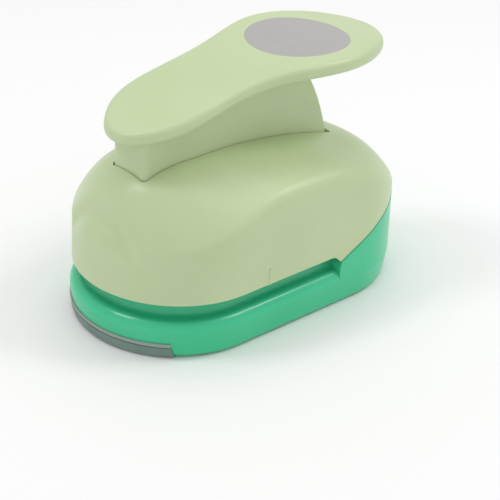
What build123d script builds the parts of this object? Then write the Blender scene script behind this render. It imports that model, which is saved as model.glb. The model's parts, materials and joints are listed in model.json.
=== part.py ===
from build123d import *
import os
from math import sqrt

os.makedirs("parts", exist_ok=True)

# ---- main sizes (mm). X runs from nose (-) to heel (+), the table is Z = 0 ----
end_centre_x = 39.75  # centres of the round nose and heel
base_radius = 52.5  # outline of the base, widest just under the bed
cover_radius = base_radius - 1.0  # outline of the cover skirt
base_waist_z = 13.5  # the base leans in below this height
base_lean = 7.0  # degrees
draft = 0.5  # degrees, walls of the cover
base_draft = 2.0  # degrees, walls of the base above the waist
base_bottom_z = 0.5  # the housing floats above the table on rubber
bed_z = 20.0  # open bed under the paper gap
throat_end_x = 26.0  # where the paper gap stops on the outside
paper_stop_x = 22.0  # where the paper itself stops
skirt_z = 29.4  # lower edge of the cover
cut_diameter = 76.2  # circle cut from the paper
cut_x = -23.25  # centre of that circle
pivot_x = -62.25  # lever pivot
pivot_z = 50.0
lever_half_width = 12.2  # lever neck
neck_nose_x = -70.25
neck_heel_radius = 112.5  # heel edge of the neck is an arc about the pivot
paddle_thickness = 7.6
label_radius = 26.2
label_x = 34.25
shell_wall = 2.8

# ---- fits ----
cove_radius = 2.9  # hollow corner between bed and land
seam_gap = 0.35  # reveal line between cover and base
slot_clearance = 0.45  # lever neck in the cover slot
running_fit = 0.08  # shafts in bores, punch in die
screw_fit = 0.05
side_gap = 0.4

# ---- heights of the cutting stack ----
land_top_z = 24.9
die_plate_thickness = 2.5
paper_gap = 2.4
guide_plate_thickness = 2.0
die_top_z = land_top_z + die_plate_thickness
guide_bottom_z = die_top_z + paper_gap
guide_top_z = guide_bottom_z + guide_plate_thickness
plate_radius = cover_radius - 8.0  # the steel stays out of sight under the skirt
land_radius = plate_radius + 0.5  # raised land of the base
hollow_radius = base_radius - 7.0
plate_heel_x = end_centre_x + 10.25
punch_bottom_z = guide_bottom_z + 0.5
punch_height = 7.9
punch_top_z = punch_bottom_z + punch_height
shoe_radius = 5.0
cap_top_z = pivot_z - shoe_radius - 0.3
ear_z = 50.0
post_radius = 2.0
post_top_z = 63.0
collar_top_z = guide_top_z + 1.0

stadium_length = 2 * end_centre_x
half_length = end_centre_x + base_radius
stretch = half_length / 92.25  # the dome and seam curves grow with the body
die_radius = cut_diameter / 2
punch_radius = die_radius - running_fit
die_growth = die_radius / 38.1

# ---- places of posts, screws and feet ----
post_reach = 0.6 * (die_radius + 6.9)
post_y = 0.8 * (die_radius + 6.9)
post_places = (
    (cut_x - post_reach, -post_y),
    (cut_x - post_reach, post_y),
    (cut_x + post_reach, -post_y),
    (cut_x + post_reach, post_y),
)
plate_screw_y = plate_radius - 7.5
plate_screw_places = (
    (throat_end_x + 4, -plate_screw_y),
    (throat_end_x + 4, plate_screw_y),
    (end_centre_x + 4.5, 10 - plate_screw_y),
    (end_centre_x + 4.5, plate_screw_y - 10),
)
bracket_screw_places = ((pivot_x - 6.75, -21), (pivot_x - 6.75, 21))
cover_screw_reach = base_radius - 16.9
cover_screw_places = (
    (end_centre_x + 0.738 * cover_screw_reach, -0.674 * cover_screw_reach),
    (end_centre_x + 0.738 * cover_screw_reach, 0.674 * cover_screw_reach),
)
nose_floor_x = -end_centre_x - 0.93 * (hollow_radius - 6.6)
nose_floor_y = 0.36 * (hollow_radius - 6.6)
heel_floor_x = end_centre_x + 0.42 * (hollow_radius - 11.4)
heel_floor_y = 0.908 * (hollow_radius - 11.4)
floor_screw_places = (
    (nose_floor_x, -nose_floor_y),
    (nose_floor_x, nose_floor_y),
    (heel_floor_x, -heel_floor_y),
    (heel_floor_x, heel_floor_y),
)
foot_places = ((end_centre_x + 20.25, -12), (end_centre_x + 20.25, 12))
nose_screw_x = -end_centre_x - plate_radius + 3.95
nose_pillar_radius = 3.4
floor_z = 1.6  # underside of the floor plate
floor_thickness = 2.0
grip_top_z = 8.4
grip_proud = 0.7
grip_end_x = -end_centre_x - 0.595 * base_radius
pillar_z = 36.0  # base and cover pillars meet here


def ease(start, end, x):
    t = min(max((x - start) / (end - start), 0.0), 1.0)
    return t * t * (3 - 2 * t)


def dome_height(x, y):
    # top of the cover: a long crest that falls away to a wavy shoulder line, gently at
    # the sides and steeply at the two ends
    along = x / stretch
    crest = 87.5 - (along + 28) ** 2 / (645 if along < -28 else 543)
    shoulder = 51.5 + 3 * ease(-92, -68, along) + 19.2 * ease(-82.5, -4, along)
    shoulder -= 23.5 * ease(20, 88, along)
    past_end = max(0.0, abs(x) - end_centre_x)
    reach = sqrt(past_end**2 + y**2)
    endwise = (past_end / reach) ** 2 if reach > 0 else 0.0
    power = 2.3 + 3.4 * endwise
    out = reach / cover_radius
    curve = out**power if out < 1 else 1 + power * (out - 1)
    return crest - (crest - shoulder) * curve


def under_dome(lowered):
    # everything under the top surface of the cover
    rows = []
    reach_x = half_length + 1.5
    reach_y = base_radius + 1.5
    for i in range(37):
        x = reach_x * (i / 18 - 1)
        row = [(x, reach_y * (j / 12 - 1)) for j in range(25)]
        rows.append([Vector(px, py, dome_height(px, py) - lowered) for px, py in row])
    top = Face.make_surface_from_array_of_points(rows, tol=0.1, min_deg=3, max_deg=6)
    return Solid.extrude(top, Vector(0, 0, -120))


def seam_line(raised):
    start = (throat_end_x, 24.9 + raised)
    rest = ((8.4, 29.2), (23.9, 36.7), (40, 43.0), (54, 47.2), (73, 49.4))
    return [start] + [(throat_end_x + x * stretch, z + raised) for x, z in rest]


def paddle_z(x):
    # middle of the paddle's thickness
    return 124.2 - (x - 40) ** 2 / 640


# ---- base housing: open bed at the nose, raised tub at the heel ----
with BuildPart() as base_housing:
    with BuildSketch(Plane.XY.offset(base_waist_z)):
        SlotCenterToCenter(stadium_length, 2 * base_radius)
    extrude(amount=48, taper=base_draft)
    with BuildSketch(Plane.XY.offset(base_waist_z)):
        SlotCenterToCenter(stadium_length, 2 * base_radius)
    extrude(amount=base_bottom_z - base_waist_z, taper=base_lean)
    fillet(base_housing.edges().group_by(Axis.Z)[0], radius=2.8)
    # cut away above the bed and the seam
    with BuildSketch(Plane.XZ):
        with BuildLine():
            Polyline(seam_line(0)[0], (throat_end_x - 1.0, bed_z + 2), (throat_end_x - 1.0, bed_z),
                     (-half_length - 7, bed_z), (-half_length - 7, 90), (seam_line(0)[-1][0], 90),
                     seam_line(0)[-1])
            Spline(*seam_line(0))
        make_face()
    extrude(amount=70, both=True, mode=Mode.SUBTRACT)
    # soft rim round the bed
    rim = base_housing.edges().filter_by_position(Axis.Z, bed_z - 0.01, bed_z + 0.01)
    fillet(rim.filter_by(lambda e: e.bounding_box().size.X > 2), radius=5.0)
    # tub behind the paper gap
    with BuildSketch(Plane.XY.offset(land_top_z)):
        SlotCenterToCenter(stadium_length, 2 * (base_radius - 2.8))
        with Locations((throat_end_x + 3.0, 0)):
            Rectangle(200, 120, align=(Align.MAX, Align.CENTER), mode=Mode.SUBTRACT)
    extrude(amount=60, mode=Mode.SUBTRACT)
    # raised land that carries the die plate, cleared above its top
    with BuildSketch(Plane.XY.offset(bed_z - 1)):
        SlotCenterToCenter(stadium_length, 2 * land_radius)
        with Locations((throat_end_x + 6.0, 0)):
            Rectangle(100, 120, align=(Align.MIN, Align.CENTER), mode=Mode.SUBTRACT)
    extrude(amount=land_top_z - bed_z + 1)
    # cove between the bed and the land
    foot = base_housing.edges().filter_by_position(Axis.Z, bed_z - 0.01, bed_z + 0.01)
    foot = foot.filter_by(lambda e: -land_radius - 0.1 < e.bounding_box().min.Y
                          and e.bounding_box().max.Y < land_radius + 0.1)
    foot = foot.filter_by(lambda e: e.bounding_box().size.X > 2)
    fillet(foot, radius=cove_radius)
    with BuildSketch(Plane.XY.offset(land_top_z)):
        with Locations((-60, 0)):
            Rectangle(120 + 2 * throat_end_x + 12, 2 * land_radius + 2 * side_gap)
    extrude(amount=10, mode=Mode.SUBTRACT)
    # screw pillars for the cover
    with BuildSketch(Plane.XY.offset(land_top_z - 1)):
        with Locations(*cover_screw_places):
            Circle(4.5)
    extrude(amount=pillar_z - land_top_z + 1)
    # hollow underside, with pillars for the floor screws
    with BuildSketch(Plane.XY.offset(base_bottom_z)):
        SlotCenterToCenter(stadium_length, 2 * hollow_radius)
    extrude(amount=16.0 - base_bottom_z, mode=Mode.SUBTRACT)
    with BuildSketch(Plane.XY.offset(floor_z + floor_thickness)):
        with Locations(*floor_screw_places):
            Circle(4)
    extrude(amount=13)
    # chute under the die
    with BuildSketch(Plane.XY.offset(floor_z + floor_thickness)):
        with Locations((cut_x, 0)):
            Circle(die_radius + 4.9)
    extrude(amount=13)
    with BuildSketch(Plane.XY):
        with Locations((cut_x, 0)):
            Circle(die_radius + 1.9)
    extrude(amount=40, mode=Mode.SUBTRACT)
    # screw holes
    with BuildSketch(Plane.XY):
        with Locations(*floor_screw_places):
            Circle(1.5 + screw_fit)
    extrude(amount=14, mode=Mode.SUBTRACT)
    with BuildSketch(Plane.XY):
        with Locations(*cover_screw_places):
            Circle(1.5 + screw_fit)
    extrude(amount=40, mode=Mode.SUBTRACT)
    with BuildSketch(Plane.XY.offset(17.5)):
        with Locations(*plate_screw_places):
            Circle(2.0 + screw_fit)
    extrude(amount=12, mode=Mode.SUBTRACT)
base_housing.part.label = "base_housing"
export_step(base_housing.part, "parts/base_housing.step")

# ---- floor plate closing the underside ----
with BuildPart() as base_floor:
    with BuildSketch(Plane.XY.offset(floor_z)):
        SlotCenterToCenter(stadium_length, 2 * (hollow_radius - 0.2))
        with Locations((cut_x, 0)):
            Circle(die_radius + 1.9, mode=Mode.SUBTRACT)
    extrude(amount=floor_thickness)
    for place in floor_screw_places:
        with BuildSketch(Plane((place[0], place[1], floor_z))):
            Circle(3.0 + screw_fit)
        with BuildSketch(Plane((place[0], place[1], floor_z + 1.5))):
            Circle(1.5 + screw_fit)
        loft(mode=Mode.SUBTRACT)
        with BuildSketch(Plane((place[0], place[1], floor_z))):
            Circle(1.5 + screw_fit)
        extrude(amount=3, mode=Mode.SUBTRACT)
base_floor.part.label = "base_floor"
export_step(base_floor.part, "parts/base_floor.step")

for number, place in enumerate(floor_screw_places, start=1):
    with BuildPart() as floor_screw:
        with BuildSketch(Plane((place[0], place[1], floor_z))):
            Circle(3.0)
        with BuildSketch(Plane((place[0], place[1], floor_z + 1.5))):
            Circle(1.5)
        loft()
        with BuildSketch(Plane((place[0], place[1], floor_z + 1.5))):
            Circle(1.5)
        extrude(amount=9.5)
        with BuildSketch(Plane((place[0], place[1], floor_z))):
            Rectangle(3.6, 0.7)
            Rectangle(0.7, 3.6)
        extrude(amount=0.8, mode=Mode.SUBTRACT)
    floor_screw.part.label = f"floor_screw_{number}"
    export_step(floor_screw.part, f"parts/floor_screw_{number}.step")

# ---- rubber that touches the table ----
for number, place in enumerate(foot_places, start=1):
    with BuildPart() as rear_foot:
        with BuildSketch(Plane((place[0], place[1], 0))):
            Circle(8)
        extrude(amount=floor_z)
        fillet(rear_foot.edges().group_by(Axis.Z)[0], radius=0.5)
    rear_foot.part.label = f"rear_foot_{number}"
    export_step(rear_foot.part, f"parts/rear_foot_{number}.step")

with BuildPart() as nose_grip:
    with BuildSketch(Plane.XY.offset(base_waist_z)):
        SlotCenterToCenter(stadium_length, 2 * (base_radius + grip_proud))
    extrude(amount=-base_waist_z, taper=base_lean)
    fillet(nose_grip.edges().group_by(Axis.Z)[0], radius=2.8)
    with BuildSketch(Plane.XY):
        SlotCenterToCenter(stadium_length, 2 * hollow_radius + 1)
    extrude(amount=20, mode=Mode.SUBTRACT)
    with BuildSketch(Plane.XY.offset(grip_top_z)):
        Rectangle(300, 200)
    extrude(amount=20, mode=Mode.SUBTRACT)
    # slanted ends, seen from the side
    with BuildSketch(Plane.XZ):
        with BuildLine():
            Polyline((grip_end_x, -1), (grip_end_x - 1.6, 2.5), (grip_end_x - 3.2, 6.5),
                     (grip_end_x - 3.6, 20), (half_length + 10, 20), (half_length + 10, -1),
                     (grip_end_x, -1))
        make_face()
    extrude(amount=70, both=True, mode=Mode.SUBTRACT)
    # groove below the lip
    with BuildSketch(Plane.XY.offset(grip_top_z - 2.3)):
        SlotCenterToCenter(stadium_length, 2 * base_radius + 10)
        SlotCenterToCenter(stadium_length, 2 * base_radius - 1.2, mode=Mode.SUBTRACT)
    extrude(amount=0.6, mode=Mode.SUBTRACT)
    add(base_housing.part, mode=Mode.SUBTRACT)
nose_grip.part.label = "nose_grip"
export_step(nose_grip.part, "parts/nose_grip.step")

# ---- steel plates: die below the paper gap, spacer, guide above ----
def plate_outline(front_x, radius):
    SlotCenterToCenter(stadium_length, 2 * radius)
    with Locations((front_x, 0)):
        Rectangle(200, 120, align=(Align.MAX, Align.CENTER), mode=Mode.SUBTRACT)
    with Locations((plate_heel_x, 0)):
        Rectangle(100, 120, align=(Align.MIN, Align.CENTER), mode=Mode.SUBTRACT)
    with Locations(*plate_screw_places):
        Circle(2.0 + screw_fit, mode=Mode.SUBTRACT)


with BuildPart() as die_plate:
    with BuildSketch(Plane.XY.offset(land_top_z)):
        plate_outline(-half_length, plate_radius)
        with Locations((cut_x, 0)):
            Circle(die_radius, mode=Mode.SUBTRACT)
    extrude(amount=die_plate_thickness)
die_plate.part.label = "die_plate"
export_step(die_plate.part, "parts/die_plate.step")

with BuildPart() as paper_stop:
    with BuildSketch(Plane.XY.offset(die_top_z)):
        plate_outline(paper_stop_x, land_radius)
    extrude(amount=paper_gap)
paper_stop.part.label = "paper_stop"
export_step(paper_stop.part, "parts/paper_stop.step")

with BuildPart() as guide_plate:
    with BuildSketch(Plane.XY.offset(guide_bottom_z)):
        plate_outline(-half_length, plate_radius)
        with Locations((cut_x, 0)):
            Circle(die_radius, mode=Mode.SUBTRACT)
        with Locations(*post_places):
            Circle(post_radius + screw_fit, mode=Mode.SUBTRACT)
        with Locations(*bracket_screw_places):
            Circle(1.5 + screw_fit, mode=Mode.SUBTRACT)
        with Locations((nose_screw_x, 0)):
            Circle(1.5 + screw_fit, mode=Mode.SUBTRACT)
    extrude(amount=guide_plate_thickness)
guide_plate.part.label = "guide_plate"
export_step(guide_plate.part, "parts/guide_plate.step")

for number, place in enumerate(plate_screw_places, start=1):
    with BuildPart() as plate_screw:
        with BuildSketch(Plane((place[0], place[1], 18))):
            Circle(2.0)
        extrude(amount=guide_top_z - 18)
        with BuildSketch(Plane((place[0], place[1], guide_top_z))):
            Circle(3.6)
        extrude(amount=2.0)
        fillet(plate_screw.edges().group_by(Axis.Z)[-1], radius=0.8)
        with BuildSketch(Plane((place[0], place[1], guide_top_z + 1.0))):
            RegularPolygon(1.4, 6)
        extrude(amount=2.0, mode=Mode.SUBTRACT)
    plate_screw.part.label = f"plate_screw_{number}"
    export_step(plate_screw.part, f"parts/plate_screw_{number}.step")

# ---- moving punch and the yoke that presses it ----
with BuildPart() as cutting_punch:
    with BuildSketch(Plane((cut_x, 0, punch_bottom_z))):
        Circle(punch_radius)
    extrude(amount=punch_height)
    chamfer(cutting_punch.edges().group_by(Axis.Z)[-1], length=0.8)
    with BuildSketch(Plane((cut_x, 0, punch_bottom_z))):
        Circle(punch_radius - 4.0)
    extrude(amount=2.0, mode=Mode.SUBTRACT)
    with BuildSketch(Plane((cut_x, 0, punch_top_z - 5))):
        with Locations((0, -17), (0, 17)):
            Circle(1.5 + screw_fit)
    extrude(amount=6, mode=Mode.SUBTRACT)
cutting_punch.part.label = "cutting_punch"
export_step(cutting_punch.part, "parts/cutting_punch.step")

yoke_arm = ((-35, -40), (-24, -44), (24, 20), (35, 40), (24, 44), (-24, -20), (-35, -40))
yoke_post = die_radius - 7.1  # how far the yoke's own posts stand from the middle
yoke_ear = die_radius - 0.1
with BuildPart() as pressure_yoke:
    with BuildSketch(Plane((cut_x, 0, punch_top_z))):
        Circle(24)
        with BuildLine():
            Polyline(*[(x * die_growth, y * die_growth) for x, y in yoke_arm])
        make_face()
        with BuildLine():
            Polyline(*[(x * die_growth, -y * die_growth) for x, y in yoke_arm])
        make_face()
        Circle(punch_radius - 2.0, mode=Mode.INTERSECT)
    extrude(amount=3.0)
    # four posts carry the ears up and over the edge of the punch
    for sign_x in (-1, 1):
        for sign_y in (-1, 1):
            with BuildSketch(Plane((cut_x, 0, punch_top_z + 1.0))):
                with Locations((sign_x * 0.6 * yoke_post, sign_y * 0.8 * yoke_post)):
                    Rectangle(9, 6, rotation=sign_x * sign_y * 53.1 - 90)
            extrude(amount=ear_z - punch_top_z - 1.0)
            with BuildSketch(Plane((cut_x, 0, ear_z))):
                with Locations((sign_x * 0.6 * yoke_post, sign_y * 0.8 * yoke_post)):
                    Rectangle(9, 6, rotation=sign_x * sign_y * 53.1 - 90)
                with Locations((sign_x * 0.6 * yoke_ear, sign_y * 0.8 * yoke_ear)):
                    Rectangle(9, 14, rotation=sign_x * sign_y * 53.1 - 90)
                with Locations((sign_x * post_reach, sign_y * post_y)):
                    Circle(4.5)
            extrude(amount=2.5)
    with BuildSketch(Plane((cut_x, 0, ear_z))):
        with Locations(*[(x - cut_x, y) for x, y in post_places]):
            Circle(post_radius + running_fit)
    extrude(amount=3, mode=Mode.SUBTRACT)
    # hard cap under the lever
    with BuildSketch(Plane((cut_x, 0, punch_top_z))):
        Circle(9)
    extrude(amount=cap_top_z - punch_top_z)
    chamfer(pressure_yoke.edges().filter_by(GeomType.CIRCLE).filter_by_position(
        Axis.Z, cap_top_z - 0.01, cap_top_z + 0.01), length=0.6)
    with BuildSketch(Plane((cut_x, 0, punch_top_z))):
        with Locations((0, -17), (0, 17)):
            Circle(1.5 + screw_fit)
    extrude(amount=6, mode=Mode.SUBTRACT)
pressure_yoke.part.label = "pressure_yoke"
export_step(pressure_yoke.part, "parts/pressure_yoke.step")

for number, place in enumerate(((cut_x, -17), (cut_x, 17)), start=1):
    with BuildPart() as yoke_screw:
        with BuildSketch(Plane((place[0], place[1], punch_top_z - 4))):
            Circle(1.5)
        extrude(amount=7)
        with BuildSketch(Plane((place[0], place[1], punch_top_z + 3))):
            Circle(2.8)
        extrude(amount=1.8)
        with BuildSketch(Plane((place[0], place[1], punch_top_z + 3.8))):
            RegularPolygon(1.3, 6)
        extrude(amount=2, mode=Mode.SUBTRACT)
    yoke_screw.part.label = f"yoke_screw_{number}"
    export_step(yoke_screw.part, f"parts/yoke_screw_{number}.step")

# ---- guide posts and return springs ----
for number, place in enumerate(post_places, start=1):
    with BuildPart() as guide_post:
        with BuildSketch(Plane((place[0], place[1], guide_bottom_z))):
            Circle(post_radius)
        extrude(amount=post_top_z - guide_bottom_z)
        chamfer(guide_post.edges().group_by(Axis.Z)[-1], length=0.6)
        with BuildSketch(Plane((place[0], place[1], guide_top_z))):
            Circle(3.8)
        extrude(amount=collar_top_z - guide_top_z)
    guide_post.part.label = f"guide_post_{number}"
    export_step(guide_post.part, f"parts/guide_post_{number}.step")

wire_radius = 0.4
coil_radius = 3.0
for number, place in enumerate(post_places, start=1):
    with BuildPart() as return_spring:
        with BuildLine() as coil:
            Helix(pitch=(ear_z - collar_top_z - 2 * wire_radius) / 6,
                  height=ear_z - collar_top_z - 2 * wire_radius, radius=coil_radius,
                  center=(place[0], place[1], collar_top_z + wire_radius))
        with BuildSketch(Plane(coil.line @ 0, z_dir=coil.line % 0)):
            Circle(wire_radius)
        sweep()
    return_spring.part.label = f"return_spring_{number}"
    export_step(return_spring.part, f"parts/return_spring_{number}.step")

# ---- pivot bracket, pin and clip ----
cheek_inner = lever_half_width + 0.6
cheek_outer = cheek_inner + 2.2
with BuildPart() as pivot_bracket:
    with BuildSketch(Plane.XY.offset(guide_top_z)):
        with Locations((pivot_x - 5.25, 0)):
            RectangleRounded(16, 48, 2)
        with Locations((cut_x, 0)):
            Circle(die_radius + 1.2, mode=Mode.SUBTRACT)
        with Locations(*bracket_screw_places):
            Circle(1.5 + screw_fit, mode=Mode.SUBTRACT)
    extrude(amount=2.0)
    for side in (-1, 1):
        with BuildSketch(Plane.XZ.offset(-side * (cheek_inner + cheek_outer) / 2)):
            with Locations((pivot_x - 3.15, guide_top_z + 1)):
                Rectangle(9.6, pivot_z - guide_top_z - 1, align=(Align.CENTER, Align.MIN))
            with Locations((pivot_x, pivot_z)):
                Circle(7.8)
            with Locations((pivot_x, pivot_z)):
                Circle(3.0 + screw_fit, mode=Mode.SUBTRACT)
        extrude(amount=1.1, both=True)
pivot_bracket.part.label = "pivot_bracket"
export_step(pivot_bracket.part, "parts/pivot_bracket.step")

for number, place in enumerate(bracket_screw_places, start=1):
    with BuildPart() as bracket_screw:
        with BuildSketch(Plane((place[0], place[1], guide_bottom_z))):
            Circle(1.5)
        extrude(amount=guide_plate_thickness + 2.0)
        with BuildSketch(Plane((place[0], place[1], guide_top_z + 2.0))):
            Circle(2.8)
        extrude(amount=1.8)
        with BuildSketch(Plane((place[0], place[1], guide_top_z + 2.8))):
            RegularPolygon(1.3, 6)
        extrude(amount=2, mode=Mode.SUBTRACT)
    bracket_screw.part.label = f"bracket_screw_{number}"
    export_step(bracket_screw.part, f"parts/bracket_screw_{number}.step")

with BuildPart() as pivot_pin:
    with BuildSketch(Plane.XZ.offset(cheek_outer)):
        with Locations((pivot_x, pivot_z)):
            Circle(4.5)
    extrude(amount=1.2)
    with BuildSketch(Plane.XZ.offset(cheek_outer)):
        with Locations((pivot_x, pivot_z)):
            Circle(3.0)
    extrude(amount=-2 * cheek_outer - 2.6)
pivot_pin.part.label = "pivot_pin"
export_step(pivot_pin.part, "parts/pivot_pin.step")

with BuildPart() as pivot_clip:
    with BuildSketch(Plane.XZ.offset(-cheek_outer)):
        with Locations((pivot_x, pivot_z)):
            Circle(5.0)
            Circle(3.0 + screw_fit, mode=Mode.SUBTRACT)
        with Locations((pivot_x, pivot_z + 4)):
            Rectangle(2.4, 5, mode=Mode.SUBTRACT)
    extrude(amount=-1.0)
pivot_clip.part.label = "pivot_clip"
export_step(pivot_clip.part, "parts/pivot_clip.step")

# ---- lever: paddle on a deep neck ----
paddle_side = ((-78.3, 7.6), (-73.0, 14.8), (-64.5, 21.6), (-54.25, 25.2), (-40, 25.9),
               (-24, 25.5), (-4.25, 27.6), (15.75, 33.4), (35.75, 37.3), (55.75, 33.4),
               (69, 26.0), (78.4, 16.8), (83.4, 7.8))
neck_heel_top_x = pivot_x + sqrt(neck_heel_radius**2 - 73**2)
neck_heel_mid_x = pivot_x + sqrt(neck_heel_radius**2 - 45**2)
neck_heel_low_x = pivot_x + sqrt(neck_heel_radius**2 - 15**2)
with BuildPart() as paddle:
    with BuildSketch(Plane.XY.offset(80)):
        with BuildLine():
            Spline((-79.8, 0), *paddle_side, (84.9, 0),
                   *[(x, -y) for x, y in reversed(paddle_side)], periodic=True)
        make_face()
    extrude(amount=60)
    half = paddle_thickness / 2
    with BuildSketch(Plane.XZ):
        with BuildLine():
            ThreePointArc((-95, paddle_z(-95) + half), (0, paddle_z(0) + half),
                          (95, paddle_z(95) + half))
            ThreePointArc((-95, paddle_z(-95) - half), (0, paddle_z(0) - half),
                          (95, paddle_z(95) - half))
            Line((-95, paddle_z(-95) - half), (-95, paddle_z(-95) + half))
            Line((95, paddle_z(95) - half), (95, paddle_z(95) + half))
        make_face()
    extrude(amount=60, both=True, mode=Mode.INTERSECT)
    fillet(paddle.edges().filter_by(lambda e: e.length > 60), radius=3.5)

with BuildPart() as lever_handle:
    # neck, with rounded edges at its nose end
    with BuildSketch(Plane.XZ):
        with BuildLine():
            Polyline((neck_heel_low_x, pivot_z + 15), (-14, 48.0), (-56, 42.0), (neck_nose_x, 43.0),
                     (neck_nose_x, paddle_z(neck_nose_x)), (-20, paddle_z(-20) - 1),
                     (neck_heel_top_x, pivot_z + 73))
            ThreePointArc((neck_heel_top_x, pivot_z + 73), (neck_heel_mid_x, pivot_z + 45),
                          (neck_heel_low_x, pivot_z + 15))
        make_face()
    extrude(amount=lever_half_width, both=True)
    corners = lever_handle.edges().filter_by(Axis.Z).filter_by_position(
        Axis.X, neck_nose_x - 0.1, neck_nose_x + 0.1)
    fillet(corners, radius=3.0)
    add(paddle.part)
    # pivot bore, press shoe notch and its pin hole
    with BuildSketch(Plane.XZ):
        with Locations((pivot_x, pivot_z)):
            Circle(3.0 + running_fit)
        with Locations((cut_x, pivot_z)):
            Circle(1.5 + screw_fit)
    extrude(amount=20, both=True, mode=Mode.SUBTRACT)
    with BuildSketch(Plane.XZ):
        with Locations((cut_x, pivot_z + shoe_radius + 0.5)):
            Rectangle(2 * shoe_radius + 0.4, 20, align=(Align.CENTER, Align.MAX))
    extrude(amount=7.0, both=True, mode=Mode.SUBTRACT)
    # hollow core of the neck
    with BuildSketch(Plane.XZ):
        with BuildLine():
            Polyline((-11, 40), (-11, 106), (24, 112), (38, 92), (43.5, 75), (44, 60), (44, 40),
                     (-11, 40))
        make_face()
    extrude(amount=lever_half_width - 3.4, both=True, mode=Mode.SUBTRACT)
    # shallow seat for the label disc
    with BuildSketch(Plane.XZ):
        with BuildLine():
            ThreePointArc((-5, paddle_z(-5) + half - 0.8), (label_x, paddle_z(label_x) + half - 0.8),
                          (70, paddle_z(70) + half - 0.8))
            Polyline((70, paddle_z(70) + half - 0.8), (70, 140), (-5, 140),
                     (-5, paddle_z(-5) + half - 0.8))
        make_face()
    seat = extrude(amount=60, both=True, mode=Mode.PRIVATE)
    with BuildSketch(Plane.XY.offset(110)):
        with Locations((label_x, 0)):
            Circle(label_radius + 0.1)
    seat_column = extrude(amount=40, mode=Mode.PRIVATE)
    add(seat & seat_column, mode=Mode.SUBTRACT)
lever_handle.part.label = "lever_handle"
export_step(lever_handle.part, "parts/lever_handle.step")

with BuildPart() as label_disc:
    with BuildSketch(Plane.XY.offset(110)):
        with Locations((label_x, 0)):
            Circle(label_radius)
    extrude(amount=40)
    with BuildSketch(Plane.XZ):
        with BuildLine():
            ThreePointArc((-5, paddle_z(-5) + half - 0.8), (label_x, paddle_z(label_x) + half - 0.8),
                          (70, paddle_z(70) + half - 0.8))
            ThreePointArc((-5, paddle_z(-5) + half - 0.1), (label_x, paddle_z(label_x) + half - 0.1),
                          (70, paddle_z(70) + half - 0.1))
            Line((-5, paddle_z(-5) + half - 0.8), (-5, paddle_z(-5) + half - 0.1))
            Line((70, paddle_z(70) + half - 0.8), (70, paddle_z(70) + half - 0.1))
        make_face()
    extrude(amount=60, both=True, mode=Mode.INTERSECT)
label_disc.part.label = "label_disc"
export_step(label_disc.part, "parts/label_disc.step")

with BuildPart() as press_shoe:
    with BuildSketch(Plane.XZ):
        with Locations((cut_x, pivot_z)):
            Circle(shoe_radius)
            Rectangle(2 * shoe_radius, shoe_radius + 0.5, align=(Align.CENTER, Align.MIN))
            Circle(1.5 + screw_fit, mode=Mode.SUBTRACT)
    extrude(amount=6.8, both=True)
press_shoe.part.label = "press_shoe"
export_step(press_shoe.part, "parts/press_shoe.step")

with BuildPart() as shoe_pin:
    with BuildSketch(Plane.XZ):
        with Locations((cut_x, pivot_z)):
            Circle(1.5)
    extrude(amount=lever_half_width - 0.2, both=True)
shoe_pin.part.label = "shoe_pin"
export_step(shoe_pin.part, "parts/shoe_pin.step")

with BuildPart() as lever_bumper:
    with BuildSketch(Plane((46.0, 0, guide_top_z))):
        RectangleRounded(6, 20, 1.5)
    extrude(amount=39.0 - guide_top_z)
    fillet(lever_bumper.edges().group_by(Axis.Z)[-1], radius=0.8)
lever_bumper.part.label = "lever_bumper"
export_step(lever_bumper.part, "parts/lever_bumper.step")

# ---- cover: thin shell with a slot for the neck ----
with BuildPart() as cover_core:
    with BuildSketch(Plane.XY.offset(15)):
        SlotCenterToCenter(stadium_length, 2 * (cover_radius - shell_wall))
    extrude(amount=90, taper=draft)
    add(under_dome(shell_wall), mode=Mode.INTERSECT)
    fillet(cover_core.faces().sort_by(Axis.Z)[-1].edges(), radius=6.5)
    # screw pillars are left standing inside the shell
    for place, foot_z, size in ((cover_screw_places[0], pillar_z, 4.0),
                                (cover_screw_places[1], pillar_z, 4.0),
                                ((nose_screw_x, 0), guide_top_z, nose_pillar_radius)):
        with BuildSketch(Plane((place[0], place[1], foot_z))):
            Circle(size)
        extrude(amount=60, mode=Mode.SUBTRACT)

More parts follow.
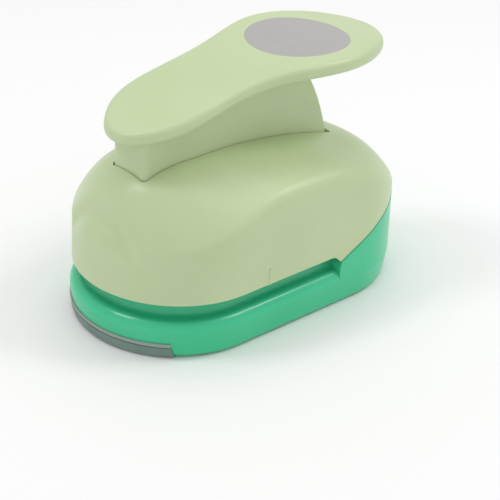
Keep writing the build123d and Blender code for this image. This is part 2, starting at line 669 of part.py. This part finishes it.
with BuildPart() as top_cover:
    with BuildSketch(Plane.XY.offset(15)):
        SlotCenterToCenter(stadium_length, 2 * cover_radius)
    extrude(amount=90, taper=draft)
    add(under_dome(0.0), mode=Mode.INTERSECT)
    fillet(top_cover.faces().sort_by(Axis.Z)[-1].edges(), radius=9.0)
    add(cover_core.part, mode=Mode.SUBTRACT)
    # lower edge: skirt over the paper gap, then the seam up to the heel
    with BuildSketch(Plane.XZ):
        with BuildLine():
            Polyline((throat_end_x - 7.0, skirt_z), (-half_length - 7, skirt_z), (-half_length - 7, 5),
                     (seam_line(0)[-1][0], 5), seam_line(seam_gap)[-1])
            Spline(*seam_line(seam_gap))
            Line(seam_line(seam_gap)[0], (throat_end_x - 2.8, 27.9))
            ThreePointArc((throat_end_x - 2.8, 27.9), (throat_end_x - 4.7, 29.0),
                          (throat_end_x - 7.0, skirt_z))
        make_face()
    wall_cut = extrude(amount=70, both=True, mode=Mode.PRIVATE)
    add(wall_cut, mode=Mode.SUBTRACT)
    # slot for the lever neck
    slot_nose = neck_nose_x - slot_clearance
    slot_heel = pivot_x + neck_heel_radius + 1.5
    with BuildSketch(Plane.XY.offset(60)):
        with Locations(((slot_nose + slot_heel) / 2, 0)):
            RectangleRounded(slot_heel - slot_nose, 2 * (lever_half_width + slot_clearance), 2.4)
    extrude(amount=40, mode=Mode.SUBTRACT)
    # marks on both sides over the middle of the cut
    for side in (-1, 1):
        with BuildSketch(Plane.XY.offset(skirt_z)):
            with Locations((cut_x, side * (cover_radius - 0.45))):
                Circle(0.75)
        extrude(amount=8.5)
    with BuildSketch(Plane.XY.offset(30)):
        with Locations(*cover_screw_places, (nose_screw_x, 0)):
            Circle(1.5 + screw_fit)
    extrude(amount=20, mode=Mode.SUBTRACT)
top_cover.part.label = "top_cover"
export_step(top_cover.part, "parts/top_cover.step")

for number, place in enumerate(cover_screw_places, start=1):
    with BuildPart() as cover_screw:
        with BuildSketch(Plane((place[0], place[1], 16.0))):
            Circle(1.5)
        extrude(amount=30)
        with BuildSketch(Plane((place[0], place[1], 16.0))):
            Circle(3.0)
        extrude(amount=-2.0)
    cover_screw.part.label = f"cover_screw_{number}"
    export_step(cover_screw.part, f"parts/cover_screw_{number}.step")

with BuildPart() as nose_screw:
    with BuildSketch(Plane((nose_screw_x, 0, guide_bottom_z))):
        Circle(1.5)
    extrude(amount=14)
nose_screw.part.label = "nose_screw"
export_step(nose_screw.part, "parts/nose_screw.step")
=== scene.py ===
# %% [markdown]
# # A desk punch for three inch circles
# A teal base carries the die, a pale green cover hides the mechanism, and a paddle on a deep neck
# presses the cutter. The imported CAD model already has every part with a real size, so it is loaded
# first and never moved. The lesson adds what CAD leaves out: light, finishes, wound springs,
# screws with a proper driver recess and grooved rubber feet. All of it sits in the same frame, in
# metres, with the table at height 0 and the nose of the punch towards -X.

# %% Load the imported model
import bpy
import bmesh
import json
import math
from mathutils import Matrix, Vector


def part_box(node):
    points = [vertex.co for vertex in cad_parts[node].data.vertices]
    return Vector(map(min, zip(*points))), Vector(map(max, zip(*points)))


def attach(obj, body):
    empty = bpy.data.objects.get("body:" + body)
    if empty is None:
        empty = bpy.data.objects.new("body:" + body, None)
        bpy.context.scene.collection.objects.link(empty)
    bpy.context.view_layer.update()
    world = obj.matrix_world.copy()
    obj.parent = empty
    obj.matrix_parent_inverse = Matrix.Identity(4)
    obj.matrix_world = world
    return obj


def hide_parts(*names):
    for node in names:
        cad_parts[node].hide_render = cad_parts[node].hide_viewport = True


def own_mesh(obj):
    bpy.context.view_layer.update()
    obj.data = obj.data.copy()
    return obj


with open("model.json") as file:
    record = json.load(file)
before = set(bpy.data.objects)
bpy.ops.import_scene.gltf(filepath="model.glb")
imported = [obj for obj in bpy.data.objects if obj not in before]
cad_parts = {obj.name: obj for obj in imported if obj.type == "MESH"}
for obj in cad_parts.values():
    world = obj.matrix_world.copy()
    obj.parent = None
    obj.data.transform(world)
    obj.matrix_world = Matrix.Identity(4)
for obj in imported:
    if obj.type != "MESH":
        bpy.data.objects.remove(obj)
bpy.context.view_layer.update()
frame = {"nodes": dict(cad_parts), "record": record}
nodes = frame["nodes"]
mm = 0.001

# %% [markdown]
# ## Camera
# A product like this is shown from above its nose, a little to the left, with a long lens. A long
# lens keeps the near and far sides of the dome at almost the same scale, where a wide one would
# swell the nose. The camera's three axes come from a heading, a dip and a roll instead of a
# track-to target, because the view has a small roll that a target can't give.

# %% Camera
camera_place = (-0.42897, -0.46619, 0.37329)
heading, dip, roll = (math.radians(angle) for angle in (46.6629, 29.2943, 3.4753))
lens_in_sensor_widths = 2.798

look = Vector((math.cos(dip) * math.cos(heading), math.cos(dip) * math.sin(heading), -math.sin(dip)))
level = Vector((math.sin(heading), -math.cos(heading), 0))
upright = level.cross(look)
right = math.cos(roll) * level + math.sin(roll) * upright
above = math.cos(roll) * upright - math.sin(roll) * level
turn = Matrix((right, above, -look)).transposed().to_4x4()

camera_data = bpy.data.cameras.new("camera")
camera_data.sensor_width = 36.0
camera_data.lens = lens_in_sensor_widths * camera_data.sensor_width
camera_data.clip_end = 20.0
camera = bpy.data.objects.new("camera", camera_data)
bpy.context.scene.collection.objects.link(camera)
camera.matrix_world = Matrix.Translation(camera_place) @ turn
bpy.context.scene.camera = camera
print("lens", round(camera_data.lens, 1), "mm, looking down", round(math.degrees(dip), 1), "degrees")

# %% [markdown]
# ## Table and light
# A product like this stands on a white sweep under softboxes: one behind the nose, one over the
# near side and a wide one overhead. The first two make the soft bright patches on the shoulders of
# the dome. A bright world alone would light the walls as much as the top, and the body would look
# flat. So the world only lifts the shadows, and the softboxes make the top brighter than the
# walls. The standard view transform keeps pale plastic pale, where a filmic one would grey it.

# %% Table
table_half = 6.0
floor_mesh = bpy.data.meshes.new("table")
corners = [(-table_half, -table_half, 0), (table_half, -table_half, 0),
           (table_half, table_half, 0), (-table_half, table_half, 0)]
floor_mesh.from_pydata(corners, [], [(0, 1, 2, 3)])
floor = bpy.data.objects.new("table", floor_mesh)
bpy.context.scene.collection.objects.link(floor)
table_finish = bpy.data.materials.new("white_table")
table_finish.use_nodes = True
table_shader = table_finish.node_tree.nodes["Principled BSDF"]
table_shader.inputs["Base Color"].default_value = (0.93, 0.93, 0.93, 1)
table_shader.inputs["Roughness"].default_value = 0.7
floor_mesh.materials.append(table_finish)
print("table", 2 * table_half, "m square")

# %% World
bpy.context.scene.view_settings.view_transform = "Standard"
world = bpy.data.worlds.new("studio")
world.use_nodes = True
background = world.node_tree.nodes["Background"]
background.inputs["Color"].default_value = (1, 1, 1, 1)
background.inputs["Strength"].default_value = 0.72
bpy.context.scene.world = world
print("world strength", round(background.inputs["Strength"].default_value, 2))

# %% Softboxes
body_middle = Vector((0, 0, 0.05))


def softbox(name, place, size, power):
    """A round light of a given width, aimed at the middle of the body."""
    data = bpy.data.lights.new(name, "AREA")
    data.shape = "DISK"
    data.size = size
    data.energy = power
    box = bpy.data.objects.new(name, data)
    bpy.context.scene.collection.objects.link(box)
    box.location = place
    box.rotation_euler = (body_middle - Vector(place)).to_track_quat("-Z", "Y").to_euler()
    print(name, "at", place, "with", power, "W")


softbox("box_behind_nose", (-0.62, 0.40, 1.20), 0.32, 2.8)
softbox("box_near_side", (0.62, -0.40, 1.05), 0.36, 2.8)
softbox("box_overhead", (0.15, 0.25, 1.35), 0.90, 2.2)

# %% [markdown]
# ## A helper for node materials
# Every finish below starts the same way: a Principled shader that reads Object coordinates, which
# are metres in the CAD frame, so a grain keeps its real size on every part. Only what varies over
# the surface is linked. A value that is the same all over is typed into the shader's socket.

# %% Material helpers
finishes = {}


class Finish:
    """One material and short names for the nodes that the finishes share."""

    def __init__(self, name):
        self.material = bpy.data.materials.new(name)
        self.material.use_nodes = True
        self.tree = self.material.node_tree
        self.shader = self.tree.nodes["Principled BSDF"]
        self.place = self.add("ShaderNodeTexCoord").outputs["Object"]
        finishes[name] = self.material

    def add(self, kind, **settings):
        node = self.tree.nodes.new(kind)
        for key, value in settings.items():
            setattr(node, key, value)
        return node

    def link(self, start, end):
        self.tree.links.new(start, end)

    def stretched(self, size, centre=(0, 0, 0)):
        """Object coordinates scaled about a centre."""
        node = self.add("ShaderNodeMapping")
        node.inputs["Scale"].default_value = size
        node.inputs["Location"].default_value = [-c * s for c, s in zip(centre, size)]
        self.link(self.place, node.inputs["Vector"])
        return node.outputs["Vector"]

    def noise(self, scale, detail, place=None):
        """A noise from 0 to 1, with scale in cells a metre."""
        node = self.add("ShaderNodeTexNoise")
        node.inputs["Scale"].default_value = scale
        node.inputs["Detail"].default_value = detail
        self.link(place or self.place, node.inputs["Vector"])
        return node.outputs["Fac"]

    def colours(self, factor, *stops):
        """Base colour from (position, colour) stops, read off a factor. Gives the colour's socket."""
        ramp = self.add("ShaderNodeValToRGB")
        while len(ramp.color_ramp.elements) < len(stops):
            ramp.color_ramp.elements.new(0.5)
        for element, (position, colour) in zip(ramp.color_ramp.elements, stops):
            element.position = position
            element.color = (*colour, 1)
        self.link(factor, ramp.inputs["Fac"])
        self.link(ramp.outputs["Color"], self.shader.inputs["Base Color"])
        return ramp.outputs["Color"]

    def roughness(self, factor, smooth, rough):
        """Roughness from smooth to rough over the middle of a noise."""
        spread = self.add("ShaderNodeMapRange")
        spread.inputs["From Min"].default_value = 0.3
        spread.inputs["From Max"].default_value = 0.7
        spread.inputs["To Min"].default_value = smooth
        spread.inputs["To Max"].default_value = rough
        self.link(factor, spread.inputs["Value"])
        self.link(spread.outputs["Result"], self.shader.inputs["Roughness"])

    def bump(self, height, depth, strength=1.0):
        """A bump of a given depth in metres, on top of any bump made before."""
        node = self.add("ShaderNodeBump")
        node.inputs["Distance"].default_value = depth
        node.inputs["Strength"].default_value = strength
        self.link(height, node.inputs["Height"])
        last = self.shader.inputs["Normal"].links
        if last:
            self.link(last[0].from_socket, node.inputs["Normal"])
        self.link(node.outputs["Normal"], self.shader.inputs["Normal"])


# %% [markdown]
# ## Moulded plastic
# The cover, the lever and the base are injection moulded ABS. Such a surface isn't one flat
# colour: pigment drifts slowly through it, the tool leaves a grain of a few tenths of a
# millimetre, and handling polishes some areas more than others. Three noises at three scales do
# this. An image texture would need UVs and would stretch over the dome.

# %% Moulded plastic


def moulded_plastic(name, deep, middle, pale, smooth, rough, grain_depth):
    """Drifting pigment, polished areas, a fine grain and a slow ripple."""
    finish = Finish(name)
    finish.colours(finish.noise(22, 3.0), (0.30, deep), (0.5, middle), (0.70, pale))
    finish.roughness(finish.noise(70, 3.0), smooth, rough)
    finish.bump(finish.noise(2400, 2.0), grain_depth)
    finish.bump(finish.noise(30, 1.0), 0.08 * mm, 0.30)
    finish.shader.inputs["IOR"].default_value = 1.53
    return finish


# %% Pale green and teal
pale_green = moulded_plastic(
    "pale_green_plastic",
    (0.512, 0.612, 0.352), (0.530, 0.630, 0.368), (0.548, 0.648, 0.386), 0.30, 0.38, 0.02 * mm)
pale_green.shader.inputs["Specular IOR Level"].default_value = 0.42
pale_green.shader.inputs["Subsurface Weight"].default_value = 0.06
pale_green.shader.inputs["Subsurface Radius"].default_value = (0.8, 1.0, 0.5)
pale_green.shader.inputs["Subsurface Scale"].default_value = 2 * mm
moulded_plastic(
    "teal_plastic",
    (0.032, 0.540, 0.262), (0.040, 0.560, 0.280), (0.050, 0.580, 0.300), 0.22, 0.27, 0.01 * mm)
print("plastics:", sorted(finishes))

# %% [markdown]
# ## Rubber and the label disc
# The strip round the nose and the feet are moulded rubber: dull, slightly dusty, with a fine
# pebbled skin from a Voronoi texture. The strip's upper lip stands proud, and its paler colour is a
# painted highlight for the light it catches from above; the band below it keeps the dark rubber
# colour. A second material could do the lip, but the strip is one moulding, so a Map Range on
# height fades one colour into the other. The disc let into the paddle is a printed foil on card, so
# it has a faint paper mottle and a satin varnish.

# %% Rubber
rubber = Finish("grey_rubber")
dark_rubber = rubber.colours(
    rubber.noise(90, 4.0),
    (0.30, (0.135, 0.215, 0.180)), (0.52, (0.160, 0.245, 0.208)), (0.75, (0.195, 0.285, 0.248)))
rubber.roughness(rubber.noise(160, 2.0), 0.42, 0.58)
pebbles = rubber.add("ShaderNodeTexVoronoi")
pebbles.inputs["Scale"].default_value = 1500
rubber.link(rubber.place, pebbles.inputs["Vector"])
rubber.bump(pebbles.outputs["Distance"], 0.05 * mm, 0.6)
rubber.shader.inputs["Sheen Weight"].default_value = 0.12

# %% Painted highlight on the lip of the grip
lip_depth = 2.3 * mm
lip_fade = 0.6 * mm
lip_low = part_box("nose_grip")[1][2] - lip_depth
height_of = rubber.add("ShaderNodeSeparateXYZ")
rubber.link(rubber.place, height_of.inputs["Vector"])
lip = rubber.add("ShaderNodeMapRange")
lip.inputs["From Min"].default_value = lip_low
lip.inputs["From Max"].default_value = lip_low + lip_fade
rubber.link(height_of.outputs["Z"], lip.inputs["Value"])
painted_lip_highlight = rubber.add("ShaderNodeMix", data_type="RGBA", blend_type="MIX")
rubber.link(lip.outputs["Result"], painted_lip_highlight.inputs["Factor"])
rubber.link(dark_rubber, painted_lip_highlight.inputs["A"])
# painted highlight: the paler grey on the lip's upper band stands in for the light it catches from
# above
painted_lip_highlight.inputs["B"].default_value = (0.30, 0.345, 0.320, 1)
rubber.link(painted_lip_highlight.outputs["Result"], rubber.shader.inputs["Base Color"])
print("lip of the grip from", round(lip_low / mm, 1), "mm up")

# %% Label
label = Finish("grey_label")
label.colours(
    label.noise(420, 6.0),
    (0.25, (0.386, 0.377, 0.364)), (0.5, (0.398, 0.389, 0.376)), (0.75, (0.410, 0.401, 0.388)))
label.roughness(label.noise(240, 3.0), 0.34, 0.46)
label.bump(label.noise(1800, 3.0), 0.02 * mm, 0.7)
label.shader.inputs["Coat Weight"].default_value = 0.15
label.shader.inputs["Coat Roughness"].default_value = 0.25
print("soft finishes:", sorted(name for name in finishes if name.startswith("grey")))

# %% [markdown]
# ## Metals
# Four metals are inside. The plates are rolled and brushed along the body, so their noise is
# stretched along X. The cutter is ground on a lathe, so its marks are rings round its own axis: a
# noise that reads only the distance from that axis. Spring wire is darker, from the oil it is
# drawn with. The screws are zinc plated, with a light speckle.

# %% Brushed plates
steel = Finish("plate_steel")
lines = steel.noise(1.0, 4.0, steel.stretched((60, 2600, 2600)))
steel.colours(lines, (0.25, (0.50, 0.51, 0.52)), (0.75, (0.70, 0.71, 0.72)))
steel.roughness(lines, 0.24, 0.40)
steel.bump(lines, 0.02 * mm, 0.5)
steel.shader.inputs["Metallic"].default_value = 1.0
steel.shader.inputs["Anisotropic"].default_value = 0.4
print("plates brushed along X")

# %% Ground cutter
punch_low, punch_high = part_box("cutting_punch")
cut_x = (punch_low[0] + punch_high[0]) / 2
ground = Finish("tool_steel")
off_axis = ground.add("ShaderNodeVectorMath", operation="LENGTH")
ground.link(ground.stretched((1, 1, 0), (cut_x, 0, 0)), off_axis.inputs[0])
rings = ground.add("ShaderNodeTexNoise", noise_dimensions="1D")
rings.inputs["Scale"].default_value = 1800
rings.inputs["Detail"].default_value = 3
ground.link(off_axis.outputs["Value"], rings.inputs["W"])
ground.colours(rings.outputs["Fac"], (0.3, (0.40, 0.41, 0.43)), (0.7, (0.56, 0.57, 0.60)))
ground.roughness(rings.outputs["Fac"], 0.18, 0.32)
ground.bump(rings.outputs["Fac"], 0.02 * mm, 0.6)
ground.shader.inputs["Metallic"].default_value = 1.0
print("cutter turns about x =", round(cut_x / mm, 2), "mm")

# %% Spring wire and zinc
wire = Finish("spring_steel")
wire.colours(wire.noise(700, 3.0), (0.3, (0.34, 0.34, 0.36)), (0.7, (0.52, 0.52, 0.54)))
wire.roughness(wire.noise(500, 2.0), 0.26, 0.40)
wire.bump(wire.noise(3000, 2.0), 0.01 * mm, 0.5)
wire.shader.inputs["Metallic"].default_value = 1.0

zinc = Finish("zinc_screws")
zinc.colours(zinc.noise(600, 4.0), (0.3, (0.60, 0.61, 0.63)), (0.7, (0.76, 0.76, 0.75)))
zinc.roughness(zinc.noise(350, 3.0), 0.20, 0.36)
zinc.bump(zinc.noise(2500, 2.0), 0.01 * mm, 0.5)
zinc.shader.inputs["Metallic"].default_value = 1.0
print(len(finishes), "finishes in all")

# %% [markdown]
# ## Finishes on the CAD parts
# The record says which finish each CAD part takes, so one loop dresses them all.

# %% Dress the CAD parts
part_finish = {row["node"]: row["material_slot"] for row in frame["record"]["subparts"]}
for name, node in nodes.items():
    node.data.materials.clear()
    node.data.materials.append(finishes[part_finish[name]])
print(len(nodes), "CAD parts dressed in", len(set(part_finish.values())), "finishes")

# %% [markdown]
# ## Geometry Nodes helpers
# Springs, screws and feet repeat, so each kind is drawn once and set out by a node tree. Typing
# the copies by hand would work too, but then a changed size has to be changed in each copy. The
# tree takes its sizes as named inputs. Realize Instances turns the copies into real faces, and
# the result is read back as a plain mesh, with the modifier gone.

# %% Objects and places


def new_object(name, mesh):
    """An object at the origin that carries a mesh."""
    obj = bpy.data.objects.new(name, mesh)
    bpy.context.scene.collection.objects.link(obj)
    return obj


def underside(name):
    """The middle of the lowest face of a CAD part's box."""
    low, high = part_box(name)
    return (low[0] + high[0]) / 2, (low[1] + high[1]) / 2, low[2]


print("guide post 1 stands at", [round(v / mm, 1) for v in underside("guide_post_1")])

# %% Recipe: a node tree with named inputs


class Recipe:
    """A node tree with named inputs."""

    def __init__(self, name, **sizes):
        self.tree = bpy.data.node_groups.new(name, "GeometryNodeTree")
        face = self.tree.interface
        face.new_socket("Geometry", in_out="INPUT", socket_type="NodeSocketGeometry")
        for key, value in sizes.items():
            kind = "NodeSocketInt" if isinstance(value, int) else "NodeSocketFloat"
            face.new_socket(key, in_out="INPUT", socket_type=kind)
        face.new_socket("Geometry", in_out="OUTPUT", socket_type="NodeSocketGeometry")
        self.sizes = sizes
        self.start = self.add("NodeGroupInput")
        self.end = self.add("NodeGroupOutput")

    def add(self, kind, **settings):
        node = self.tree.nodes.new(kind)
        for key, value in settings.items():
            setattr(node, key, value)
        return node

    def link(self, start, end):
        self.tree.links.new(start, end)

    def maths(self, operation, *values):
        """A Math node on numbers or sockets. Gives its result's socket."""
        node = self.add("ShaderNodeMath", operation=operation)
        for socket, value in zip(node.inputs, values):
            if isinstance(value, (int, float)):
                socket.default_value = value
            else:
                self.link(value, socket)
        return node.outputs["Value"]

    def finish_with(self, geometry, material):
        """End the tree: real faces in place of copies, then the finish."""
        real = self.add("GeometryNodeRealizeInstances")
        paint = self.add("GeometryNodeSetMaterial")
        paint.inputs["Material"].default_value = material
        self.link(geometry, real.inputs["Geometry"])
        self.link(real.outputs["Geometry"], paint.inputs["Geometry"])
        self.link(paint.outputs["Geometry"], self.end.inputs["Geometry"])


# %% From recipe to plain mesh


def make_plain(name, places, recipe):
    """Run a recipe on a cloud of points and keep the result as a plain mesh."""
    cloud = bpy.data.meshes.new(name + "_places")
    cloud.from_pydata([tuple(p) for p in places], [], [])
    carrier = new_object(name + "_carrier", cloud)
    modifier = carrier.modifiers.new("recipe", "NODES")
    modifier.node_group = recipe.tree
    for item in recipe.tree.interface.items_tree:
        if item.in_out == "INPUT" and item.name in recipe.sizes:
            modifier[item.identifier] = recipe.sizes[item.name]
    graph = bpy.context.evaluated_depsgraph_get()
    mesh = bpy.data.meshes.new_from_object(carrier.evaluated_get(graph), depsgraph=graph)
    mesh.name = name
    carrier.modifiers.remove(modifier)
    bpy.data.objects.remove(carrier)
    mesh.shade_smooth()
    print(name, "has", len(mesh.vertices), "points and", len(mesh.polygons), "faces")
    return new_object(name, mesh)


# %% [markdown]
# ## Return springs
# Four coil springs stand on the guide posts and push the cutter back up. The CAD coil is one even
# helix. A real spring of this kind is closed and ground: its end turns lie flat, and only the
# middle turns are open. A curve with one radius for its pitch can't do that, so the tree bends a
# plain line into a coil, with a height that rises slowly at both ends.

# %% Return springs: sizes
spring_low, spring_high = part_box("return_spring_1")
spring_floor = spring_low[2]
spring_height = spring_high[2] - spring_floor
outer_radius = (spring_high[1] - spring_low[1]) / 2
wire_radius = 0.4 * mm
corner_numbers = range(1, 5)
spring_places = [(*underside(f"guide_post_{number}")[:2], spring_floor) for number in corner_numbers]
print("spring height", round(spring_height / mm, 2), "mm, outer radius", round(outer_radius / mm, 2))

# %% Return springs: the wire's line
springs = Recipe("wound_spring", Turns=7.5, Coil=outer_radius - wire_radius, Wire=wire_radius,
                 Height=spring_height - 2 * wire_radius, Steps=300, Sides=10)
given = springs.start.outputs
line = springs.add("GeometryNodeCurvePrimitiveLine")
line.inputs["End"].default_value = (0, 0, 1)
points = springs.add("GeometryNodeResampleCurve")
springs.link(line.outputs["Curve"], points.inputs["Curve"])
springs.link(given["Steps"], points.inputs["Count"])
along = springs.add("GeometryNodeSplineParameter").outputs["Factor"]
print("each spring has", springs.sizes["Turns"], "turns")

# %% Return springs: bend the line into a coil
flat_share = 0.02
angle = springs.maths("MULTIPLY", springs.maths("MULTIPLY", along, given["Turns"]), 2 * math.pi)
rise = springs.add("ShaderNodeMapRange", interpolation_type="SMOOTHSTEP")
rise.inputs["From Min"].default_value = flat_share
rise.inputs["From Max"].default_value = 1 - flat_share
springs.link(along, rise.inputs["Value"])
height = springs.maths("MULTIPLY", rise.outputs["Result"], given["Height"])
spot = springs.add("ShaderNodeCombineXYZ")
springs.link(springs.maths("MULTIPLY", springs.maths("COSINE", angle), given["Coil"]), spot.inputs["X"])
springs.link(springs.maths("MULTIPLY", springs.maths("SINE", angle), given["Coil"]), spot.inputs["Y"])
springs.link(springs.maths("ADD", height, given["Wire"]), spot.inputs["Z"])
bend = springs.add("GeometryNodeSetPosition")
springs.link(points.outputs["Curve"], bend.inputs["Geometry"])
springs.link(spot.outputs["Vector"], bend.inputs["Position"])
print("share of the wire that lies flat at each end:", flat_share)

# %% Return springs: thicken the wire and set out the copies
section = springs.add("GeometryNodeCurvePrimitiveCircle")
springs.link(given["Sides"], section.inputs["Resolution"])
springs.link(given["Wire"], section.inputs["Radius"])
tube = springs.add("GeometryNodeCurveToMesh")
tube.inputs["Fill Caps"].default_value = True
springs.link(bend.outputs["Geometry"], tube.inputs["Curve"])
springs.link(section.outputs["Curve"], tube.inputs["Profile Curve"])
stand = springs.add("GeometryNodeInstanceOnPoints")
springs.link(given["Geometry"], stand.inputs["Points"])
springs.link(tube.outputs["Mesh"], stand.inputs["Instance"])
springs.finish_with(stand.outputs["Instances"], finishes["spring_steel"])
print("spring recipe has", len(springs.tree.nodes), "nodes")

# %% [markdown]
# The springs stay with the housing at their feet.

# %% Return springs: make and fit
return_springs = make_plain("return_springs", spring_places, springs)
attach(return_springs, "housing")
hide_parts(*[f"return_spring_{number}" for number in corner_numbers])
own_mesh(return_springs)

# %% [markdown]
# ## Lathe helper
# Screws and feet are turned shapes. A profile of radius and height is spun about Z into rings of
# points, with a single point where it meets the axis, so that there is no hole and no double.

# %% Lathe helper


def turned(name, profile, sides):
    """Spin (radius, height) pairs, from the bottom centre to the top centre, about Z."""
    shape = bmesh.new()
    rings = []
    turns = [2 * math.pi * step / sides for step in range(sides)]
    for radius, height in profile:
        if radius == 0:
            rings.append([shape.verts.new((0, 0, height))])
        else:
            rings.append([shape.verts.new((radius * math.cos(turn), radius * math.sin(turn), height))
                          for turn in turns])
    for lower, upper in zip(rings, rings[1:]):
        for step in range(sides):
            after = (step + 1) % sides
            if len(lower) == 1:
                shape.faces.new((lower[0], upper[after], upper[step]))
            elif len(upper) == 1:
                shape.faces.new((lower[step], lower[after], upper[0]))
            else:
                shape.faces.new((lower[step], lower[after], upper[after], upper[step]))
    bmesh.ops.recalc_face_normals(shape, faces=shape.faces)
    mesh = bpy.data.meshes.new(name)
    shape.to_mesh(mesh)
    shape.free()
    return mesh


# %% Setting out copies


def set_out(name, places, master, material, seed):
    """Copy a master shape to each place, each turned by a random angle."""
    recipe = Recipe(name + "_recipe", Seed=seed)
    source = recipe.add("GeometryNodeObjectInfo")
    source.inputs["Object"].default_value = master
    source.inputs["As Instance"].default_value = True
    twist = recipe.add("FunctionNodeRandomValue", data_type="FLOAT_VECTOR")
    twist.inputs[0].default_value = (0, 0, 0)
    twist.inputs[1].default_value = (0, 0, 2 * math.pi)
    recipe.link(recipe.start.outputs["Seed"], twist.inputs["Seed"])
    copies = recipe.add("GeometryNodeInstanceOnPoints")
    recipe.link(recipe.start.outputs["Geometry"], copies.inputs["Points"])
    recipe.link(source.outputs["Geometry"], copies.inputs["Instance"])
    recipe.link(twist.outputs[0], copies.inputs["Rotation"])
    recipe.finish_with(copies.outputs["Instances"], material)
    piece = make_plain(name, places, recipe)
    bpy.data.objects.remove(master)
    return piece


# %% [markdown]
# ## Floor screws
# Four countersunk screws hold the floor plate. What shows is the head in its countersink, with a
# cross recess that narrows as it goes in. The head is turned, then a tapered cross is cut into it
# with a Boolean. Two crossed boxes would be quicker, but a driver recess has sloping walls, and
# that slope is what catches the light.

# %% Floor screws: head and thread
screw_low, screw_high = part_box("floor_screw_1")
head_radius = (screw_high[0] - screw_low[0]) / 2
screw_length = screw_high[2] - screw_low[2]
head_depth = 1.5 * mm
flat_radius = 2.6 * mm
shank = 1.5 * mm
pitch = 0.5 * mm
thread_depth = 0.28 * mm
first_thread = head_depth + 0.3 * mm
plain_end = 1.5 * mm
tip_length = 1.0 * mm
tip_radius = 0.7 * mm
inset = 0.02 * mm
tip = screw_length - inset
screw_profile = [(0, inset), (flat_radius, inset), (head_radius - 0.12 * mm, 0.08 * mm),
                 (head_radius - 0.04 * mm, 0.16 * mm), (shank, head_depth)]
threads = int((screw_length - head_depth - plain_end) / pitch)
for thread in range(threads):
    crest = first_thread + thread * pitch
    screw_profile += [(shank, crest), (shank - thread_depth, crest + pitch / 2)]
screw_profile += [(shank, screw_length - tip_length), (tip_radius, tip), (0, tip)]
screw = new_object("screw_master", turned("screw_master", screw_profile, 48))
print("head radius", round(head_radius / mm, 2), "mm,", threads, "threads")

# %% Floor screws: the driver's tapered cross
mouth_reach, root_reach = 1.8 * mm, 0.8 * mm
mouth_half = 0.36 * mm
root_half = 0.6 * mouth_half
below_head, recess_depth = -0.3 * mm, 1.1 * mm


def rectangle(reach, half_width):
    """Corners of one arm of the cross, seen from below."""
    return [(reach, half_width), (-reach, half_width), (-reach, -half_width), (reach, -half_width)]


cross = bmesh.new()
for arm in range(2):
    turned_by = Matrix.Rotation(arm * math.pi / 2, 3, "Z")
    lower = [cross.verts.new(turned_by @ Vector((x, y, below_head)))
             for x, y in rectangle(mouth_reach, mouth_half)]
    upper = [cross.verts.new(turned_by @ Vector((x, y, recess_depth)))
             for x, y in rectangle(root_reach, root_half)]
    cross.faces.new(lower[::-1])
    cross.faces.new(upper)
    for step in range(4):
        after = (step + 1) % 4
        cross.faces.new((lower[step], lower[after], upper[after], upper[step]))
bmesh.ops.recalc_face_normals(cross, faces=cross.faces)
cutter_mesh = bpy.data.meshes.new("cross")
cross.to_mesh(cutter_mesh)
cross.free()
cutter = new_object("cross", cutter_mesh)
print("recess", round(recess_depth / mm, 1), "mm deep")

# %% Floor screws: cut the recess
cut = screw.modifiers.new("recess", "BOOLEAN")
cut.object = cutter
cut.operation = "DIFFERENCE"
cut.solver = "EXACT"
cut.use_self = True
graph = bpy.context.evaluated_depsgraph_get()
screw.data = bpy.data.meshes.new_from_object(screw.evaluated_get(graph), depsgraph=graph)
screw.modifiers.clear()
bpy.data.objects.remove(cutter)
print("a screw has", len(screw.data.polygons), "faces")

# %% Floor screws: set out and fit
screw_places = [underside(f"floor_screw_{number}") for number in corner_numbers]
floor_screws = set_out("floor_screws", screw_places, screw, finishes["zinc_screws"], seed=7)
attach(floor_screws, "housing")
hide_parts(*[f"floor_screw_{number}" for number in corner_numbers])

# %% [markdown]
# ## Rubber feet
# The heel stands on two round rubber pads. Each has a soft edge and two grooves underneath that
# let it grip. The same lathe makes one, and the same recipe sets out the pair.

# %% Rubber feet: section
foot_low, foot_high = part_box("rear_foot_1")
foot_radius = (foot_high[0] - foot_low[0]) / 2
foot_height = foot_high[2] - foot_low[2]
edge_radius = 0.5 * mm
edge_steps = 6
hub_radius = 1.2 * mm
inner_groove, outer_groove = 2.6 * mm, 5.0 * mm
groove_half, groove_depth = 0.5 * mm, 0.7 * mm
groove_slope = 0.7


def groove(radius):
    """Five points across a round-bottomed groove at a given radius."""
    side, deep = groove_half * groove_slope, groove_depth * groove_slope
    return [(radius - groove_half, 0), (radius - side, deep), (radius, groove_depth),
            (radius + side, deep), (radius + groove_half, 0)]


foot_profile = [(0, 0), (hub_radius, 0), *groove(inner_groove), *groove(outer_groove)]
for step in range(edge_steps + 1):
    angle = step / edge_steps * math.pi / 2
    foot_profile.append((foot_radius - edge_radius * (1 - math.sin(angle)),
                         edge_radius * (1 - math.cos(angle))))
foot_profile += [(foot_radius, foot_height), (0, foot_height)]
print("foot radius", round(foot_radius / mm, 2), "mm,", len(foot_profile), "points in its section")

# %% Rubber feet: make and fit
foot = new_object("foot_master", turned("foot_master", foot_profile, 96))
foot_places = [underside(f"rear_foot_{number}") for number in (1, 2)]
rear_feet = set_out("rear_feet", foot_places, foot, finishes["grey_rubber"], seed=3)
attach(rear_feet, "housing")
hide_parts("rear_foot_1", "rear_foot_2")
